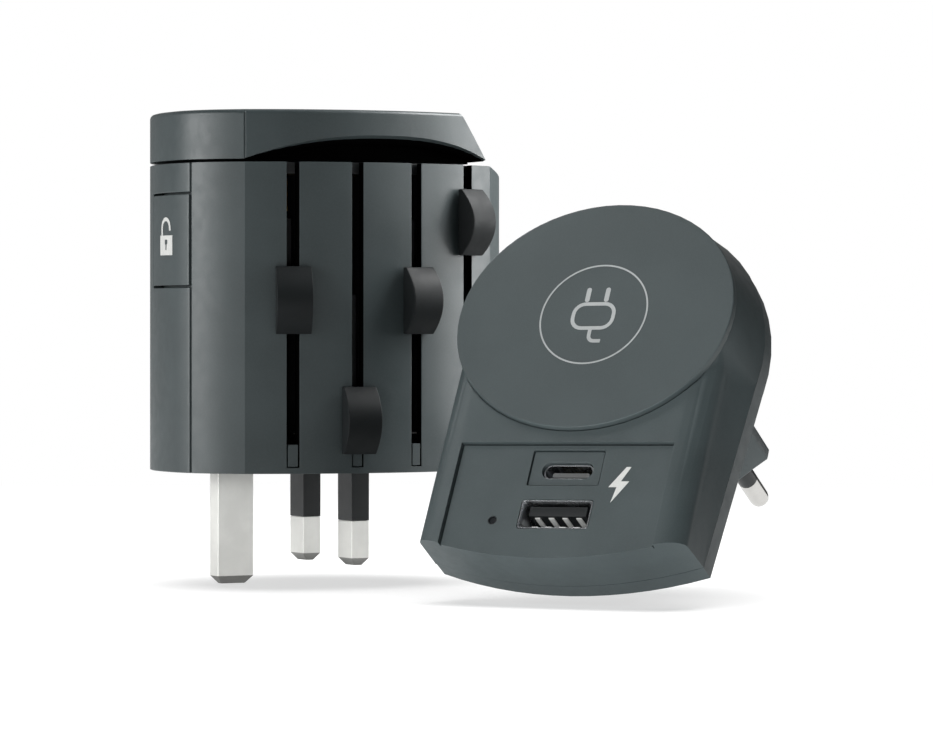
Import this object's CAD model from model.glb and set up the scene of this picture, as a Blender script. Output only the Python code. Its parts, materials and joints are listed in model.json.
# A universal travel adapter standing on its base, with its USB charger tilted beside it.
# Metres, +Z up, in the frame of the CAD model.  -Y is the front, the side with the sliders.
import json
import math

import bpy
import bmesh
from mathutils import Matrix, Vector

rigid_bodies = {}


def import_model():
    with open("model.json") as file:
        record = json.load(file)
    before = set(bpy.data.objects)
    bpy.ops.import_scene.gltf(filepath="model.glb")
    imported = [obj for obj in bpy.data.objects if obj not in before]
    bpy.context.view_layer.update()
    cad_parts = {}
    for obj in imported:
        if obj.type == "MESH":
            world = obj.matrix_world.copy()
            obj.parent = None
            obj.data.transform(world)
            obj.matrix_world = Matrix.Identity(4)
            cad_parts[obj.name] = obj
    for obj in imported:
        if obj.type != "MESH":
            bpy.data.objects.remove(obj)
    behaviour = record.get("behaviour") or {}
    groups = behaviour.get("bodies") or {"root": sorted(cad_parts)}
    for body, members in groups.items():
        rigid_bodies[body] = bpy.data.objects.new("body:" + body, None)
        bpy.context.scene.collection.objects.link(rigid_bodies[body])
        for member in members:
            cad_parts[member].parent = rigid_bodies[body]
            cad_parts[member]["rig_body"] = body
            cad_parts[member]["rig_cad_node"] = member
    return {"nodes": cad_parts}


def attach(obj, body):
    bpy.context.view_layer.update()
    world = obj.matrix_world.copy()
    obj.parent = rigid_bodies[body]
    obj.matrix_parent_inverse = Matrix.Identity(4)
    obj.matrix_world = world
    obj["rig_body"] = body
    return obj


for old in list(bpy.data.objects):
    bpy.data.objects.remove(old, do_unlink=True)

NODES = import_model()["nodes"]
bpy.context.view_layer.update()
scene = bpy.context.scene
MM = 0.001


# ---------------------------------------------------------------- node helpers
class Graph:
    """Short calls that add and wire nodes in one tree, which is emptied first."""

    def __init__(self, tree):
        self.tree = tree
        tree.nodes.clear()

    def add(self, kind, inputs=None, **settings):
        """New node; each input is given a value or a socket to link from."""
        made = self.tree.nodes.new(kind)
        for name, value in settings.items():
            setattr(made, name, value)
        for key, value in (inputs or {}).items():
            if isinstance(value, bpy.types.NodeSocket):
                self.tree.links.new(value, made.inputs[key])
            else:
                made.inputs[key].default_value = value
        return made

    def math(self, operation, *values):
        return self.add("ShaderNodeMath", dict(enumerate(values)), operation=operation).outputs[0]

    def product(self, first, *others):
        for other in others:
            first = self.math("MULTIPLY", first, other)
        return first

    def dot(self, first, second):
        inputs = {0: first, 1: second}
        return self.add("ShaderNodeVectorMath", inputs, operation="DOT_PRODUCT").outputs["Value"]

    def separate(self, vector):
        return self.add("ShaderNodeSeparateXYZ", {0: vector}).outputs

    def ramp(self, value, low, high, to_low=0.0, to_high=1.0):
        inputs = {"Value": value, "From Min": low, "From Max": high,
                  "To Min": to_low, "To Max": to_high}
        made = self.add("ShaderNodeMapRange", inputs, interpolation_type="SMOOTHSTEP", clamp=True)
        return made.outputs["Result"]

    def mix(self, factor, *colours):
        first, second = [(*c, 1.0) if isinstance(c, tuple) else c for c in colours]
        inputs = {0: factor, 6: first, 7: second}
        return self.add("ShaderNodeMix", inputs, data_type="RGBA").outputs[2]

    def camera_switch(self, camera_ray, others, camera):
        """One value for camera rays, another for all other rays."""
        inputs = {0: camera_ray, 2: others, 3: camera}
        return self.add("ShaderNodeMix", inputs, data_type="FLOAT").outputs[0]

    def coords(self):
        for made in self.tree.nodes:
            if made.bl_idname == "ShaderNodeTexCoord":
                return made.outputs["Object"]
        return self.add("ShaderNodeTexCoord").outputs["Object"]

    def noise(self, scale, detail, rough, vector=None):
        inputs = {"Scale": scale, "Detail": detail, "Roughness": rough,
                  "Vector": self.coords() if vector is None else vector}
        return self.add("ShaderNodeTexNoise", inputs).outputs["Fac"]

    def bump(self, height, strength, distance):
        inputs = {"Strength": strength, "Distance": distance, "Height": height}
        return self.add("ShaderNodeBump", inputs).outputs[0]

    def face_normal(self):
        return self.separate(self.add("ShaderNodeNewGeometry").outputs["True Normal"])

    def edge_mask(self, radius):
        """1 on convex or concave edges, 0 on flat faces."""
        rounded = self.add("ShaderNodeBevel", {"Radius": radius}, samples=4)
        plain = self.add("ShaderNodeNewGeometry")
        alike = self.dot(rounded.outputs["Normal"], plain.outputs["Normal"])
        return self.ramp(alike, low=0.995, high=0.90)


def new_material(name):
    material = bpy.data.materials.new(name)
    material.use_nodes = True
    return material, Graph(material.node_tree)


def tint(rgb, gain):
    return tuple(c * gain for c in rgb)


def worn(rgb, gain, lift=0.0):
    return tuple(min(1.0, c * gain + lift) for c in rgb)


def slot_mask(graph):
    """1 on the walls of the slider slots, which lie in deep shade."""
    facing_x = 0.8        # least |x| of the face normal
    half_span = 0.0245    # the slots lie within this |x|
    normal = graph.face_normal()
    place = graph.separate(graph.coords())
    side = graph.math("GREATER_THAN", graph.math("ABSOLUTE", normal[0]), facing_x)
    near = graph.math("LESS_THAN", graph.math("ABSOLUTE", place[0]), half_span)
    return graph.product(side, near)


def arch_mask(graph):
    """1 on the cap's finger recess behind its front lip."""
    centre_y = 0.02815                     # axis of the arc, on x = 0
    inner, outer = 0.0476, 0.0540          # radii that hold the recess
    top_z, half_width, front_y = 0.0679, 0.0274, -0.008
    steepest_up = 0.3                      # faces that look further up stay plain
    x, y, z = graph.separate(graph.coords())
    from_axis = graph.math("SUBTRACT", y, centre_y)
    squares = graph.math("ADD", graph.product(x, x), graph.product(from_axis, from_axis))
    radius = graph.math("SQRT", squares)
    return graph.product(
        graph.math("LESS_THAN", radius, outer),
        graph.math("GREATER_THAN", radius, inner),
        graph.math("LESS_THAN", z, top_z),
        graph.math("LESS_THAN", graph.math("ABSOLUTE", x), half_width),
        graph.math("LESS_THAN", graph.face_normal()[2], steepest_up),
        graph.math("LESS_THAN", y, front_y))


def moulded(name, rgb, rough, grain_mm=0.35, depth_um=6.0, blotch=0.10, wear=0.35, sheen=0.5,
            shade=None):
    """Moulded plastic: spark-eroded grain, faint flow blotches, finger-rubbed edges."""
    speck_amount, speck_gain = 0.16, 1.5     # how far the specks show, and their brightness
    wear_gain, wear_lift = 2.1, 0.015        # colour of rubbed edges
    wear_polish = 0.10                       # roughness lost there
    fine_size, coarse_size, coarse_amount = 0.6, 2.2, 0.6   # grain bumps, sizes in grains
    shade_colour = (0.002, 0.002, 0.002)

    material, graph = new_material(name)
    flow = graph.noise(scale=55.0, detail=3.0, rough=0.55)
    smudge = graph.noise(scale=420.0, detail=2.0, rough=0.5)
    colour = graph.mix(graph.ramp(flow, low=0.3, high=0.7),
                       tint(rgb, 1 - blotch), tint(rgb, 1 + blotch))
    grain = graph.noise(scale=1.0 / (grain_mm * MM), detail=1.0, rough=0.5)
    speck = graph.ramp(grain, low=0.35, high=0.75)
    colour = graph.mix(graph.product(speck, speck_amount), colour, tint(rgb, speck_gain))
    scuff = graph.product(graph.edge_mask(radius=0.35 * MM),
                          graph.ramp(smudge, low=0.35, high=0.65, to_low=0.35))
    colour = graph.mix(graph.product(scuff, wear), colour, worn(rgb, wear_gain, wear_lift))
    specular = sheen
    if shade is not None:
        mask = shade(graph)
        colour = graph.mix(mask, colour, shade_colour)
        specular = graph.product(graph.math("SUBTRACT", 1.0, mask), sheen)
    base_rough = graph.ramp(smudge, low=0.3, high=0.7, to_low=rough - 0.03, to_high=rough + 0.04)
    fine = graph.noise(scale=1.0 / (grain_mm * fine_size * MM), detail=2.0, rough=0.6)
    coarse = graph.noise(scale=1.0 / (grain_mm * coarse_size * MM), detail=1.0, rough=0.5)
    height = graph.math("ADD", fine, graph.product(coarse, coarse_amount))
    shader = graph.add("ShaderNodeBsdfPrincipled", {
        "Base Color": colour,
        "Specular IOR Level": specular,
        "Roughness": graph.math("SUBTRACT", base_rough, graph.product(scuff, wear_polish)),
        "Normal": graph.bump(height, strength=0.55, distance=depth_um * 1e-6)})
    graph.add("ShaderNodeOutputMaterial", {0: shader.outputs[0]})
    return material


def plated(name, rgb, rough, metal=1.0, axis=0, under=0.0):
    """Plated or drawn metal: fine draw lines along one axis, small smudges.

    under darkens the faces that look down.
    """
    line_stretch = 0.03                      # noise scale along the draw lines
    line_amount, line_gain = 0.12, 0.8       # how far the lines show, and their brightness
    smudge_gain = 0.93
    wear, wear_gain = 0.25, 1.15             # brighter edges
    under_gain = 0.22

    material, graph = new_material(name)
    scale = [1.0, 1.0, 1.0]
    scale[axis] = line_stretch
    stretched = graph.add("ShaderNodeMapping", {"Scale": scale, "Vector": graph.coords()})
    lines = graph.noise(scale=5200.0, detail=2.0, rough=0.6, vector=stretched.outputs[0])
    smudge = graph.noise(scale=210.0, detail=3.0, rough=0.6)
    colour = graph.mix(graph.ramp(smudge, low=0.35, high=0.7), tint(rgb, smudge_gain), rgb)
    colour = graph.mix(graph.product(lines, line_amount), colour, tint(rgb, line_gain))
    edge = graph.edge_mask(radius=0.2 * MM)
    colour = graph.mix(graph.product(edge, wear), colour, worn(rgb, wear_gain))
    if under > 0:
        down = graph.product(graph.face_normal()[2], -1.0)
        down = graph.ramp(down, low=0.25, high=0.5, to_high=under)
        colour = graph.mix(down, colour, tint(rgb, under_gain))
    shader = graph.add("ShaderNodeBsdfPrincipled", {
        "Base Color": colour,
        "Metallic": metal,
        "Roughness": graph.ramp(smudge, low=0.3, high=0.75,
                                to_low=rough - 0.04, to_high=rough + 0.08),
        "Normal": graph.bump(lines, strength=0.35, distance=2.5e-6)})
    graph.add("ShaderNodeOutputMaterial", {0: shader.outputs[0]})
    return material


# ---------------------------------------------------------------- materials
SLATE = (0.056, 0.072, 0.075)
BLACK = (0.010, 0.0125, 0.0135)

slate = moulded("slate_plastic", SLATE, rough=0.40, wear=0.22)
slate_disc = moulded("slate_cover", tint(SLATE, 0.97), rough=0.43, grain_mm=0.28, depth_um=5.0,
                     blotch=0.06, wear=0.30)
black = moulded("black_plastic", BLACK, rough=0.40, grain_mm=0.25, depth_um=4.0, blotch=0.15,
                wear=0.30)
black_inner = moulded("black_inner", tint(BLACK, 0.8), rough=0.55, grain_mm=0.3, wear=0.2)
slate_front = moulded("slate_front", SLATE, rough=0.40, wear=0.22, shade=slot_mask)
slate_cap = moulded("slate_cap", SLATE, rough=0.40, wear=0.22, shade=arch_mask)
knob_black = moulded("knob_black", BLACK, rough=0.55, grain_mm=0.25, depth_um=4.0, blotch=0.15,
                     wear=0.25, sheen=0.22)
tongue_grey = moulded("tongue_grey", (0.16, 0.165, 0.165), rough=0.45, grain_mm=0.2, depth_um=2.0,
                      wear=0.3)
sleeve = moulded("pin_sleeve", tint(BLACK, 1.25), rough=0.33, grain_mm=0.2, depth_um=2.0, wear=0.2)
nickel = plated("nickel_plate", (0.86, 0.86, 0.825), rough=0.38, metal=0.35, axis=2, under=0.85)
bright = plated("bright_nickel", (0.82, 0.81, 0.78), rough=0.16, axis=2)
steel = plated("port_steel", (0.52, 0.54, 0.56), rough=0.26)
screw_steel = plated("screw_steel", (0.42, 0.43, 0.45), rough=0.34)
brass = plated("contact_brass", (0.74, 0.53, 0.24), rough=0.34, axis=2)
pale = plated("contact_pale", (0.74, 0.75, 0.73), rough=0.45, metal=0.2)
gold = plated("contact_gold", (0.80, 0.66, 0.38), rough=0.25)
lens = moulded("lens_smoke", (0.012, 0.014, 0.016), rough=0.12, grain_mm=0.3, depth_um=0.5,
               blotch=0.2, wear=0.4)
board = moulded("board_green", (0.02, 0.13, 0.06), rough=0.45, grain_mm=0.6, depth_um=8.0,
                blotch=0.25, wear=0.5)
tape = moulded("tape_yellow", (0.60, 0.46, 0.10), rough=0.42, grain_mm=0.5, depth_um=8.0,
               blotch=0.2, wear=0.3)
shrink = moulded("shrink_blue", (0.025, 0.03, 0.09), rough=0.22, grain_mm=0.4, depth_um=3.0,
                 blotch=0.15)
print_white = moulded("pad_print_white", (0.66, 0.67, 0.65), rough=0.55, grain_mm=0.2,
                      depth_um=3.0, blotch=0.05, wear=0.0)
print_grey = moulded("pad_print_grey", (0.40, 0.42, 0.42), rough=0.55, grain_mm=0.2,
                     depth_um=3.0, blotch=0.07, wear=0.0)


def by_piece(*rows):
    """Turns rows of (value, piece names) into {piece: value}."""
    return {piece: value for value, pieces in rows for piece in pieces.split()}


NICKEL_PINS = ("uk_earth_pin uk_line_pin uk_neutral_pin "
               "us_blade_line us_blade_neutral au_blade_line au_blade_neutral")
LOOK = by_piece(
    (slate_front, "front_shell"),
    (slate_cap, "top_cap"),
    (slate, "rear_shell lock_button base_plate charger_front_shell charger_rear_shell "
            "charger_plug_body charger_usb_c_bezel"),
    (slate_disc, "charger_disc_cover"),
    (black, "chassis"),
    (black_inner, "socket_plate charger_usb_a_tongue"),
    (brass, "line_contact neutral_contact earth_contact"),
    (bright, "fuse charger_left_pin charger_right_pin eu_line_pin eu_neutral_pin"),
    (screw_steel, "lock_spring"),
    (steel, "charger_usb_a_shell charger_usb_c_shell"),
    (tongue_grey, "charger_usb_c_tongue"),
    (lens, "charger_status_lens"),
    (board, "charger_circuit_board"),
    (tape, "charger_transformer"),
    (shrink, "charger_capacitor"),
    (sleeve, "charger_left_sleeve charger_right_sleeve uk_line_sleeve uk_neutral_sleeve "
             "eu_line_sleeve eu_neutral_sleeve"),
    (nickel, NICKEL_PINS))


def look_of(piece):
    if piece in LOOK:
        return LOOK[piece]
    if piece.startswith("base_screw"):
        return screw_steel
    return knob_black if piece.endswith("_knob") else black_inner


# ---------------------------------------------------------------- shading of the CAD nodes
CORNER_X, CORNER_Y = 27.8 * MM, -19.307 * MM   # front corners, at both signs of x
CORNER_REACH = 1.3 * MM
CREASE_ANGLE = 8.0                             # degrees, sharp near those corners


def smooth_group():
    """Smooth faces; sharp edges past an angle, and at creases near the front corners."""
    group = bpy.data.node_groups.new("smooth_by_angle", "GeometryNodeTree")
    for name, way, kind in (("Geometry", "INPUT", "Geometry"), ("Angle", "INPUT", "Float"),
                            ("Crease", "INPUT", "Float"), ("Geometry", "OUTPUT", "Geometry")):
        group.interface.new_socket(name, in_out=way, socket_type="NodeSocket" + kind)
    graph = Graph(group)
    given = graph.add("NodeGroupInput").outputs
    angle = graph.add("GeometryNodeInputMeshEdgeAngle").outputs["Unsigned Angle"]

    def wider_than(limit):
        return graph.add("FunctionNodeCompare", {0: angle, 1: limit},
                         data_type="FLOAT", operation="GREATER_THAN").outputs[0]

    x, y, _ = graph.separate(graph.add("GeometryNodeInputPosition").outputs[0])
    off_x = graph.math("SUBTRACT", graph.math("ABSOLUTE", x), CORNER_X)
    off_y = graph.math("SUBTRACT", y, CORNER_Y)
    off = graph.math("MAXIMUM", graph.math("ABSOLUTE", off_x), graph.math("ABSOLUTE", off_y))
    near = graph.math("LESS_THAN", off, CORNER_REACH)
    crease = graph.product(near, wider_than(math.radians(CREASE_ANGLE)), given["Crease"])
    total = graph.math("ADD", crease, wider_than(given["Angle"]))
    either = graph.math("GREATER_THAN", total, 0.5)
    faces = graph.add("GeometryNodeSetShadeSmooth",
                      {"Geometry": given["Geometry"], "Shade Smooth": True}, domain="FACE")
    edges = graph.add("GeometryNodeSetShadeSmooth",
                      {"Geometry": faces.outputs[0], "Selection": either, "Shade Smooth": False},
                      domain="EDGE")
    graph.add("NodeGroupOutput", {0: edges.outputs[0]})
    return group


SMOOTH = smooth_group()


def add_smooth(piece, angle, crease=0.0):
    shading = piece.modifiers.new("shade", "NODES")
    shading.node_group = SMOOTH
    keys = {s.name: s.identifier for s in SMOOTH.interface.items_tree if s.in_out == "INPUT"}
    shading[keys["Angle"]] = math.radians(angle)
    shading[keys["Crease"]] = crease


def add_bevel(piece, width):
    edge = piece.modifiers.new("edge", "BEVEL")
    edge.width = width * MM
    edge.segments = 2
    edge.limit_method = "ANGLE"
    edge.angle_limit = math.radians(40.0)
    return edge


def dress(piece, material, bevel, crease):
    """Material, cleaned mesh, rounded edges and shading for one CAD piece."""
    mesh = piece.data
    mesh.materials.clear()
    mesh.materials.append(material)
    if "custom_normal" in mesh.attributes:
        mesh.attributes.remove(mesh.attributes["custom_normal"])
    weld = piece.modifiers.new("weld", "WELD")
    weld.merge_threshold = 0.000004
    flat = piece.modifiers.new("flat", "DECIMATE")
    flat.decimate_type = "DISSOLVE"
    flat.angle_limit = math.radians(0.6)
    if bevel > 0:
        edge = add_bevel(piece, bevel)
        edge.use_clamp_overlap = True
        edge.harden_normals = False
        edge.miter_outer = "MITER_ARC"
    add_smooth(piece, angle=38.0, crease=crease)
    normals = piece.modifiers.new("normals", "WEIGHTED_NORMAL")
    normals.keep_sharp = True
    normals.mode = "FACE_AREA_WITH_ANGLE"


# bevel widths in mm
COMMON_BEVEL = 0.08
BEVELS = by_piece(
    (0.0, "charger_disc_cover lock_spring"),
    (0.06, "charger_usb_c_shell"),
    (0.07, "charger_usb_a_shell"),
    (0.1, "us_blade_line us_blade_neutral au_blade_line au_blade_neutral"),
    (0.12, "base_plate chassis charger_usb_c_bezel uk_line_sleeve uk_neutral_sleeve"),
    (0.15, "top_cap charger_front_shell uk_line_pin uk_neutral_pin"),
    (0.18, "front_shell rear_shell uk_earth_pin"),
    (0.2, "lock_button"),
    (0.25, "charger_rear_shell"),
    (0.3, "uk_knob us_knob au_knob eu_knob"),
    (0.5, "charger_plug_body"))
CREASED = ("front_shell", "top_cap")
for name, piece in NODES.items():
    dress(piece, look_of(name), bevel=BEVELS.get(name, COMMON_BEVEL),
          crease=1.0 if name in CREASED else 0.0)

# ---------------------------------------------------------------- pieces added around the CAD
# From here to the floor, shapes are (vertices, faces) in mm.
# The charger's own frame has its printed and ported face towards +Z.
CHARGER = (Matrix.Translation(Vector((18.61, -77.84, 31.8)) * MM)
           @ Matrix.Rotation(math.radians(-53.89), 4, "Z")
           @ Matrix.Rotation(math.radians(58.88), 4, "X")
           @ Matrix.Rotation(math.radians(0.77), 4, "Z"))


def on_charger(point):
    return CHARGER @ (point * MM)


def build(name, shape, material, body="charger", place=on_charger, bevel=0.0, angle=35.0):
    """Makes a shape into an object, placed and bound to a body."""
    points, faces = shape
    mesh = bpy.data.meshes.new(name)
    mesh.from_pydata([tuple(place(Vector(point))) for point in points], [], faces)
    work = bmesh.new()
    work.from_mesh(mesh)
    bmesh.ops.remove_doubles(work, verts=work.verts[:], dist=0.000001)
    bmesh.ops.recalc_face_normals(work, faces=work.faces[:])
    work.to_mesh(mesh)
    work.free()
    mesh.materials.append(material)
    piece = bpy.data.objects.new(name, mesh)
    scene.collection.objects.link(piece)
    if bevel > 0:
        add_bevel(piece, bevel)
    add_smooth(piece, angle)
    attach(piece, body)


def slab(outline, z0, z1):
    """Polygon of (x, y) points, extruded from z0 to z1."""
    n = len(outline)
    points = [(x, y, z) for z in (z0, z1) for x, y in outline]
    faces = [tuple(range(n - 1, -1, -1)), tuple(range(n, 2 * n))]
    faces += [(i, (i + 1) % n, n + (i + 1) % n, n + i) for i in range(n)]
    return points, faces


def ribbon(path, width, z0, z1, closed=False):
    """Flat strip of constant width along a path of (x, y) points, extruded from z0 to z1."""
    n = len(path)
    left, right = [], []
    for i in range(n):
        if closed:
            before, after = path[i - 1], path[(i + 1) % n]
        else:
            before, after = path[max(i - 1, 0)], path[min(i + 1, n - 1)]
        along = (Vector(after) - Vector(before)).normalized()
        across = Vector((-along.y, along.x)) * (width / 2)
        left.append(Vector(path[i]) + across)
        right.append(Vector(path[i]) - across)
    points = [(p.x, p.y, z) for z in (z0, z1) for p in left + right]
    faces = []
    for i in range(n if closed else n - 1):
        j = (i + 1) % n
        faces.append((i, j, n + j, n + i))                              # bottom
        faces.append((2 * n + i, 3 * n + i, 3 * n + j, 2 * n + j))      # top
        faces.append((i, 2 * n + i, 2 * n + j, j))                      # left wall
        faces.append((n + i, n + j, 3 * n + j, 3 * n + i))              # right wall
    if not closed:
        faces.append((0, n, 3 * n, 2 * n))
        faces.append((n - 1, 3 * n - 1, 4 * n - 1, 2 * n - 1))
    return points, faces


def arc(centre_x, centre_y, radius, start, end, steps):
    """Points of an arc between two angles in degrees."""
    angles = [math.radians(start + (end - start) * i / steps) for i in range(steps + 1)]
    return [(centre_x + radius * math.cos(a), centre_y + radius * math.sin(a)) for a in angles]


def circle(centre_x, centre_y, radius, steps):
    return arc(centre_x, centre_y, radius, 0, 360, steps)[:-1]


def rounded_box(centre_x, centre_y, width, height, radius, steps):
    outline = []
    for side_x, side_y, start in ((1, -1, -90), (1, 1, 0), (-1, 1, 90), (-1, -1, 180)):
        outline += arc(centre_x + side_x * (width / 2 - radius),
                       centre_y + side_y * (height / 2 - radius), radius, start, start + 90, steps)
    return outline


def emblem():
    """Print on the round cover: a thin ring with a plain plug sign."""
    ink = (0.0, 0.05)      # z of its two faces
    line = 0.75            # width of the plug's lines

    def printed(name, shape):
        build("charger_emblem_" + name, shape, print_grey)

    printed("ring", ribbon(circle(0, 0, 11.0, steps=96), 0.32, *ink, closed=True))
    outline = rounded_box(0.0, -0.4, width=8.4, height=5.4, radius=2.2, steps=6)
    printed("plug_outline", ribbon(outline, line, *ink, closed=True))
    for side, name in ((-1, "left"), (1, "right")):
        prong = rounded_box(side * 2.0, 4.35, width=0.95, height=3.2, radius=0.45, steps=3)
        printed("prong_" + name, slab(prong, *ink))
    bend = arc(1.2, -4.8, 1.2, 180, 270, steps=6)[1:]
    printed("cord", ribbon([(0.0, -3.5), (0.0, -4.6)] + bend + [(2.6, -6.0)], line, *ink))


PANEL_Z = -1.83    # face of the port panel


def power_sign():
    """Lightning bolt printed beside the ports."""
    centre_x, centre_y, scale = 12.3, -36.5, 0.95
    bolt = ((0.9, 4.0), (-2.1, -0.55), (-0.35, -0.55), (-0.95, -4.0),
            (2.1, 0.75), (0.3, 0.75), (1.9, 4.0))    # x, y before scaling
    outline = [(centre_x + scale * x, centre_y + scale * y) for x, y in bolt]
    build("charger_power_sign", slab(outline, PANEL_Z, PANEL_Z + 0.05), print_white)


def contact_pad(x, y, half_width, z0, z1, rise):
    """Thin bar along z, from height y to y + rise."""
    outline = [(x - half_width, z0), (x + half_width, z0), (x + half_width, z1), (x - half_width, z1)]
    points, faces = slab(outline, y, y + rise)
    return [(px, py, pz) for px, pz, py in points], faces


# corners of a sprung finger: side of the first one, z, (+Y face, -Y face) above the wall
FINGER_STATIONS = ((-1, -8.5, (0.0, -0.02)), (1, -4.6, (0.95, 0.70)), (1, -3.3, (0.55, 0.30)))
FINGER_FACES = [(0, 1, 2, 3), (3, 2, 4, 5), (6, 9, 8, 7), (9, 11, 10, 8), (0, 3, 9, 6),
                (3, 5, 11, 9), (1, 7, 8, 2), (2, 8, 10, 4), (5, 4, 10, 11), (0, 6, 7, 1)]


def usb_a():
    """Contacts under the tongue and sprung fingers in the lower wall."""
    centre_x, centre_y, pitch = 0.55, -42.9, 2.84
    wall_y = centre_y - 2.46
    finger_half = 0.62
    for i in range(4):
        x = centre_x + (i - 1.5) * pitch
        pad = contact_pad(x, centre_y + 0.2, half_width=0.55, z0=-12.6, z1=-3.6, rise=-0.22)
        build("charger_usb_a_contact_%d" % (i + 1), pad, pale, bevel=0.05)
        points = [(x + side * finger_half, wall_y + heights[face], z)
                  for face in (0, 1)
                  for first, z, heights in FINGER_STATIONS
                  for side in (first, -first)]
        build("charger_usb_a_finger_%d" % (i + 1), (points, FINGER_FACES), pale, angle=20)


def usb_c():
    """Row of gold contacts on the +Y side of the tongue."""
    centre_x, centre_y, pitch = 1.0, -33.3, 0.7
    for i in range(8):
        pad = contact_pad(centre_x + (i - 3.5) * pitch, centre_y + 0.45,
                          half_width=0.16, z0=-10.5, z1=-4.5, rise=0.06)
        build("charger_usb_c_contact_%d" % (i + 1), pad, gold)


def status_ring():
    """Ring round the status light."""
    path = circle(-12.06, -44.3, 0.86, steps=28)
    ring = ribbon(path, 0.14, PANEL_Z - 1.2, PANEL_Z - 0.04, closed=True)
    build("charger_status_ring", ring, black)


def lock_face_x(y):
    """Outer face of the lock button, on the -X side: two arcs and a flat between them."""
    side, corner_y = 36.3, -2.816
    corner_x, corner_radius = 16.749, 19.55
    if y >= 0:
        return -math.sqrt(side ** 2 - y * y)
    if y > corner_y:
        return -side
    return -(corner_x + math.sqrt(corner_radius ** 2 - (y - corner_y) ** 2))


def on_lock(point):
    """Sign frame: x runs to -Y, y up, z out of the button."""
    y = -0.2 - point.x
    return Vector((lock_face_x(y) - point.z, y, 46.0 + point.y)) * MM


def plate(x0, x1, y0, y1, steps, ink):
    """Thin plate split along x, so that it follows the curved button."""
    points = [(x0 + (x1 - x0) * i / steps, y, z)
              for z in ink for y in (y0, y1) for i in range(steps + 1)]
    row = steps + 1
    faces = []
    for i in range(steps):
        faces += [(i, row + i, row + i + 1, i + 1),
                  (2 * row + i, 2 * row + i + 1, 3 * row + i + 1, 3 * row + i),
                  (i, i + 1, 2 * row + i + 1, 2 * row + i),
                  (row + i, 3 * row + i, 3 * row + i + 1, row + i + 1)]
    faces += [(0, 2 * row, 3 * row, row), (steps, row + steps, 3 * row + steps, 2 * row + steps)]
    return points, faces


def lock_sign():
    """Open padlock printed on the lock button."""
    ink = (-0.02, 0.05)
    half, hole, slot = 3.0, 0.62, 0.28            # half widths: body, keyhole, slot below it
    low, slot_low, high = -2.2, -1.15, 1.8
    plates = (                                    # name, x0, x1, y0, y1, steps
        ("body_left", -half, -hole, low, high, 4),
        ("body_right", hole, half, low, high, 4),
        ("body_low", -hole, hole, low, slot_low, 2),
        ("body_high", -hole, hole, 0.95, high, 2),
        ("body_slot_left", -hole, -slot, slot_low, 0.0, 1),
        ("body_slot_right", slot, hole, slot_low, 0.0, 1))
    bow = arc(-0.1, 3.2, 1.9, 180, 0, steps=14)[1:]
    path = [(-2.0, high), (-2.0, 3.2)] + bow + [(1.85, 2.75)]
    shapes = [(name, plate(*sizes, ink)) for name, *sizes in plates]
    for name, shape in shapes + [("shackle", ribbon(path, 0.75, *ink))]:
        build("lock_sign_" + name, shape, print_white, body="lock", place=on_lock)


emblem()
power_sign()
usb_a()
usb_c()
status_ring()
lock_sign()


# ---------------------------------------------------------------- floor
def floor_material():
    """Grey floor with a glow of its own, fading to plain white far out for the camera."""
    material, graph = new_material("floor_white")
    camera_ray = graph.add("ShaderNodeLightPath").outputs["Is Camera Ray"]
    glow = graph.camera_switch(camera_ray, others=0.19, camera=0.64)
    grey = graph.add("ShaderNodeBsdfDiffuse", {"Color": (0.42, 0.42, 0.42, 1.0)})
    glowing = graph.add("ShaderNodeEmission", {"Strength": glow})
    both = graph.add("ShaderNodeAddShader", {0: grey.outputs[0], 1: glowing.outputs[0]})
    place = graph.add("ShaderNodeNewGeometry").outputs["Position"]
    distance = graph.add("ShaderNodeVectorMath", {0: place}, operation="LENGTH").outputs["Value"]
    away = graph.product(graph.ramp(distance, low=0.22, high=0.55), camera_ray)
    white = graph.add("ShaderNodeEmission", {"Strength": 1.0})
    blend = graph.add("ShaderNodeMixShader", {0: away, 1: both.outputs[0], 2: white.outputs[0]})
    graph.add("ShaderNodeOutputMaterial", {0: blend.outputs[0]})
    return material


def make_floor():
    half, z = 9.0, -23.45 * MM
    work = bmesh.new()
    work.faces.new([work.verts.new((x * half, y * half, z))
                    for x, y in ((-1, -1), (1, -1), (1, 1), (-1, 1))])
    mesh = bpy.data.meshes.new("floor")
    work.to_mesh(mesh)
    work.free()
    mesh.materials.append(floor_material())
    made = bpy.data.objects.new("floor", mesh)
    scene.collection.objects.link(made)
    return made


floor = make_floor()


# ---------------------------------------------------------------- lights
def direction(azimuth, elevation):
    """Unit vector; azimuth in degrees from +X towards +Y."""
    a, e = math.radians(azimuth), math.radians(elevation)
    return (math.cos(e) * math.cos(a), math.cos(e) * math.sin(a), math.sin(e))


SETS = {key: bpy.data.collections.new("lit_" + key)
        for key in ("adapter", "charger", "pins", "floor", "units")}
for piece in bpy.data.objects:
    body = piece.get("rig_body")
    if piece.type != "MESH" or not body:
        continue
    SETS["charger" if body == "charger" else "adapter"].objects.link(piece)
    SETS["units"].objects.link(piece)
    if piece.get("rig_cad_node") and piece.name.split(".")[0] in NICKEL_PINS.split():
        SETS["pins"].objects.link(piece)
SETS["floor"].objects.link(floor)

# what is lit: (point aimed at, distance of the boxes, their diameter)
AIMS = {
    "adapter": ((0.0, 0.0, 0.03), 0.75, 0.42),
    "charger": ((0.0186, -0.0778, 0.03), 0.75, 0.42),
    "pins": ((0.0, 0.0, -0.01), 0.75, 0.42),
    "floor": ((0.01, -0.04, 0.0), 1.6, 2.4),
}
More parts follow.
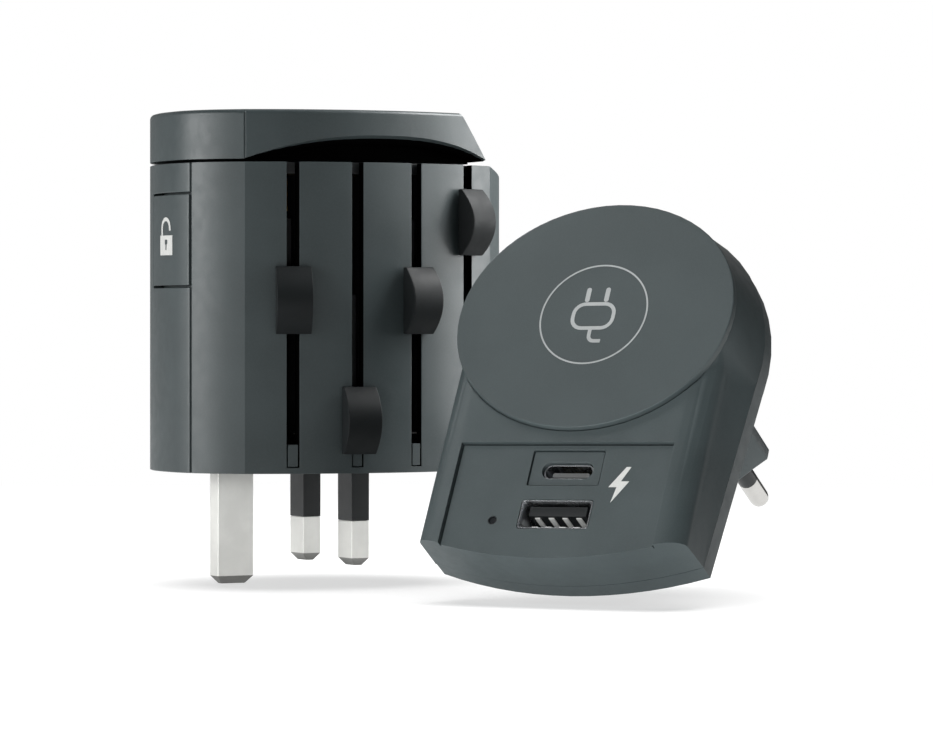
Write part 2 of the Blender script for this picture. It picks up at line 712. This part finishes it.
# round soft boxes: what is lit, azimuth, elevation, watts
SOFT_BOXES = (
    ("adapter", 315, 8, 0.9), ("adapter", 345, 8, 3.3), ("adapter", 165, 8, 2.7),
    ("adapter", 190, 8, 1.35), ("adapter", 345, 45, 8.2),
    ("charger", 193, 8, 1.25), ("charger", 223, 8, 2.9), ("charger", 118, 50, 2.6),
    ("charger", 198, 50, 0.2), ("charger", 200, -50, 3.4),
    ("pins", 243, 4, 4.0),
    ("floor", 63, 80, 60.0),
)
for i, (lit, azimuth, elevation, watts) in enumerate(SOFT_BOXES):
    centre, distance, diameter = AIMS[lit]
    light = bpy.data.lights.new("soft_box_%d" % (i + 1), "AREA")
    light.shape = "DISK"
    light.size = diameter
    light.energy = watts
    box = bpy.data.objects.new(light.name, light)
    scene.collection.objects.link(box)
    outward = Vector(direction(azimuth, elevation))
    box.location = Vector(centre) + outward * distance
    box.rotation_euler = outward.to_track_quat("Z", "Y").to_euler()
    box.light_linking.receiver_collection = SETS[lit]
    if elevation < 0:    # shines up past the floor
        box.light_linking.blocker_collection = SETS["units"]


def make_world():
    """Weak surround, a little brighter behind, so that the back is not black."""
    # azimuth, elevation, strength, angle of the full core, angle where it ends
    lobes = ((75.0, 20.0, 0.26, 15.0, 50.0), (30.0, 60.0, 0.25, 15.0, 50.0))
    ambient = 0.025
    world = bpy.data.worlds.new("studio")
    scene.world = world
    world.use_nodes = True
    graph = Graph(world.node_tree)
    view = graph.add("ShaderNodeTexCoord").outputs["Generated"]
    glows = [graph.ramp(graph.dot(view, direction(azimuth, elevation)),
                        low=math.cos(math.radians(end)), high=math.cos(math.radians(core)),
                        to_high=strength)
             for azimuth, elevation, strength, core, end in lobes]
    surround = graph.math("ADD", graph.math("ADD", *glows), ambient)
    camera_ray = graph.add("ShaderNodeLightPath").outputs["Is Camera Ray"]
    strength = graph.camera_switch(camera_ray, others=surround, camera=1.0)
    background = graph.add("ShaderNodeBackground",
                           {"Strength": strength, "Color": (1.0, 1.0, 1.0, 1.0)})
    graph.add("ShaderNodeOutputWorld", {0: background.outputs[0]})


make_world()

# ---------------------------------------------------------------- camera
scene.view_settings.view_transform = "Standard"
scene.view_settings.look = "None"
scene.view_settings.exposure = 0.0

lens_data = bpy.data.cameras.new("camera")
camera = bpy.data.objects.new("camera", lens_data)
scene.collection.objects.link(camera)
camera.location = Vector((-401.79, -805.86, 30.3)) * MM
camera.rotation_euler = (math.radians(90.0), 0.0, math.radians(-28.337))
lens_data.sensor_fit = "HORIZONTAL"
lens_data.sensor_width = 36.0
lens_data.lens = 168.4244373
lens_data.shift_y = -0.0476956056
lens_data.clip_start = 0.05
lens_data.clip_end = 100.0
scene.camera = camera
